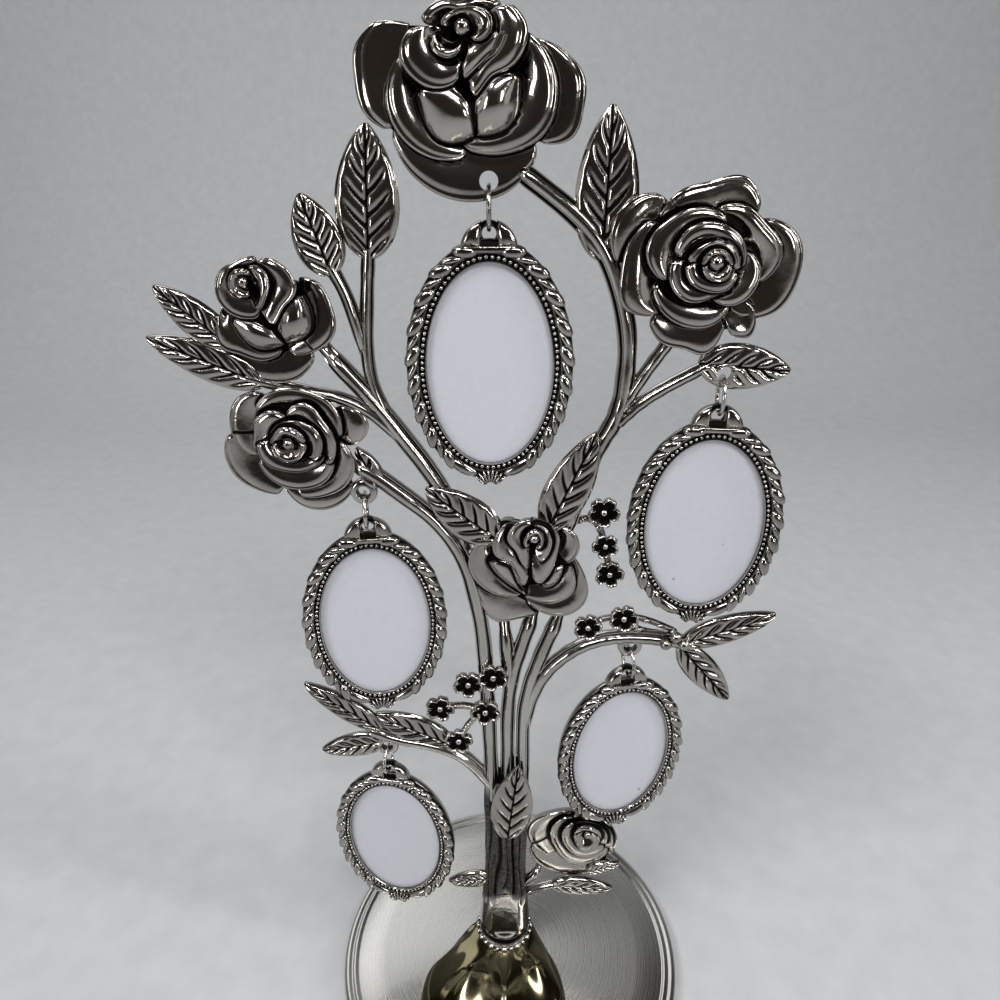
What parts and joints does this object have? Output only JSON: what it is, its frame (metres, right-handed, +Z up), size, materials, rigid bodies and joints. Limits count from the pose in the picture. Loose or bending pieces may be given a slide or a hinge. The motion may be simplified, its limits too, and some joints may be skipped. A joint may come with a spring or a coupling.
{
  "type": "photo tree stand",
  "caption": "Silver tabletop photo tree with rose heads and leaves on curved boughs, oval picture frames on jump rings, and a round brushed base",
  "frame": {"origin": "middle of the felt under the base, where the stand rests on the table", "axes": "X to the right as seen from the front, Y to the back, Z up"},
  "size_m": [0.1617, 0.12, 0.2994],
  "materials": {
    "tree_silver": "silver plate, polished, black patina left in the grooves",
    "flower_silver": "silver plate, polished on the high spots, black patina between petals and veins",
    "frame_silver": "silver plate with black patina between the lobes and pearls of the border",
    "foot_silver": "silver plate, mirror polish",
    "brushed_disc": "spun and brushed in circles, silver plated",
    "ring_wire": "plated round wire",
    "clear_film": "clear plastic film",
    "photo_card": "plain pale card where a photo goes",
    "back_metal": "dull grey plated sheet",
    "weight_steel": "bare steel, not seen",
    "felt": "black felt",
    "fixing_steel": "zinc plated steel"
  },
  "bodies": {
    "stand": {"base_disc": "brushed_disc", "base_weight": "weight_steel", "felt_pad": "felt", "root_foot": "foot_silver", "fixing_screw": "fixing_steel", "fixing_washer": "fixing_steel", "trunk": "tree_silver", "left_stem": "tree_silver", "center_stem": "tree_silver", "right_stem": "tree_silver", "right_bough": "tree_silver", "right_twigs": "tree_silver", "upper_left_bough": "tree_silver", "left_twigs": "tree_silver", "low_left_bough": "tree_silver", "low_right_arch": "tree_silver", "foot_stems": "tree_silver", "top_rose": "flower_silver", "right_rose": "flower_silver", "left_bud_rose": "flower_silver", "left_open_rose": "flower_silver", "center_rose": "flower_silver", "foot_rose": "flower_silver", "upper_left_leaves": "flower_silver", "far_left_leaves": "flower_silver", "top_right_leaf": "flower_silver", "right_rose_leaf": "flower_silver", "center_leaves": "flower_silver", "trunk_leaf": "flower_silver", "arch_leaves": "flower_silver", "low_left_leaves": "flower_silver", "foot_leaves": "flower_silver", "right_flower_sprig": "flower_silver", "arch_flower_sprig": "flower_silver", "left_flower_sprig": "flower_silver"},
    "top_hanger": {"top_ring": "ring_wire"},
    "top_picture": {"top_frame": "frame_silver", "top_window": "clear_film", "top_card": "photo_card"},
    "top_backing": {"top_back": "back_metal"},
    "right_hanger": {"right_ring": "ring_wire"},
    "right_picture": {"right_frame": "frame_silver", "right_window": "clear_film", "right_card": "photo_card"},
    "right_backing": {"right_back": "back_metal"},
    "left_hanger": {"left_ring": "ring_wire"},
    "left_picture": {"left_frame": "frame_silver", "left_window": "clear_film", "left_card": "photo_card"},
    "left_backing": {"left_back": "back_metal"},
    "lower_right_hanger": {"lower_right_ring": "ring_wire"},
    "lower_right_picture": {"lower_right_frame": "frame_silver", "lower_right_window": "clear_film", "lower_right_card": "photo_card"},
    "lower_right_backing": {"lower_right_back": "back_metal"},
    "lower_left_hanger": {"lower_left_ring": "ring_wire"},
    "lower_left_picture": {"lower_left_frame": "frame_silver", "lower_left_window": "clear_film", "lower_left_card": "photo_card"},
    "lower_left_backing": {"lower_left_back": "back_metal"}
  },
  "joints": [
    {"name": "top_ring_twist", "type": "hinge", "parent": "stand", "child": "top_hanger", "pos_m": [-0.006, 0, 0.26561], "axis": [0, 0, 1], "range_deg": [-19.9, 19.9]},
    {"name": "top_frame_tilt", "type": "hinge", "parent": "top_hanger", "child": "top_picture", "pos_m": [-0.006, 0, 0.26101], "axis": [1, 0, 0], "range_deg": [-35, 35]},
    {"name": "top_back_slide", "type": "slide", "parent": "top_picture", "child": "top_backing", "axis": [0, 1, 0], "range_m": [0, 0.006]},
    {"name": "right_ring_twist", "type": "hinge", "parent": "stand", "child": "right_hanger", "pos_m": [0.0503, 0, 0.22281], "axis": [0, 0, 1], "range_deg": [-13.7, 26.1]},
    {"name": "right_frame_tilt", "type": "hinge", "parent": "right_hanger", "child": "right_picture", "pos_m": [0.0503, 0, 0.21821], "axis": [0.9942, -0.108, 0], "range_deg": [-35, 35]},
    {"name": "right_back_slide", "type": "slide", "parent": "right_picture", "child": "right_backing", "axis": [0.108, 0.9942, 0], "range_m": [0, 0.006]},
    {"name": "left_ring_twist", "type": "hinge", "parent": "stand", "child": "left_hanger", "pos_m": [-0.0388, 0, 0.19151], "axis": [0, 0, 1], "range_deg": [-26.9, 12.9]},
    {"name": "left_frame_tilt", "type": "hinge", "parent": "left_hanger", "child": "left_picture", "pos_m": [-0.0388, 0, 0.18691], "axis": [0.9925, 0.1219, 0], "range_deg": [-35, 35]},
    {"name": "left_back_slide", "type": "slide", "parent": "left_picture", "child": "left_backing", "axis": [-0.1219, 0.9925, 0], "range_m": [0, 0.006]},
    {"name": "lower_right_ring_twist", "type": "hinge", "parent": "stand", "child": "lower_right_hanger", "pos_m": [0.0338, 0, 0.14221], "axis": [0, 0, 1], "range_deg": [-31.5, 8.3]},
    {"name": "lower_right_frame_tilt", "type": "hinge", "parent": "lower_right_hanger", "child": "lower_right_picture", "pos_m": [0.0338, 0, 0.13761], "axis": [0.9796, 0.2011, 0], "range_deg": [-35, 35]},
    {"name": "lower_right_back_slide", "type": "slide", "parent": "lower_right_picture", "child": "lower_right_backing", "axis": [-0.2011, 0.9796, 0], "range_m": [0, 0.006]},
    {"name": "lower_left_ring_twist", "type": "hinge", "parent": "stand", "child": "lower_left_hanger", "pos_m": [-0.0385, 0, 0.10421], "axis": [0, 0, 1], "range_deg": [-10.8, 29]},
    {"name": "lower_left_frame_tilt", "type": "hinge", "parent": "lower_left_hanger", "child": "lower_left_picture", "pos_m": [-0.0385, 0, 0.09961], "axis": [0.9874, -0.1582, 0], "range_deg": [-35, 35]},
    {"name": "lower_left_back_slide", "type": "slide", "parent": "lower_left_picture", "child": "lower_left_backing", "axis": [0.1582, 0.9874, 0], "range_m": [0, 0.006]}
  ]
}
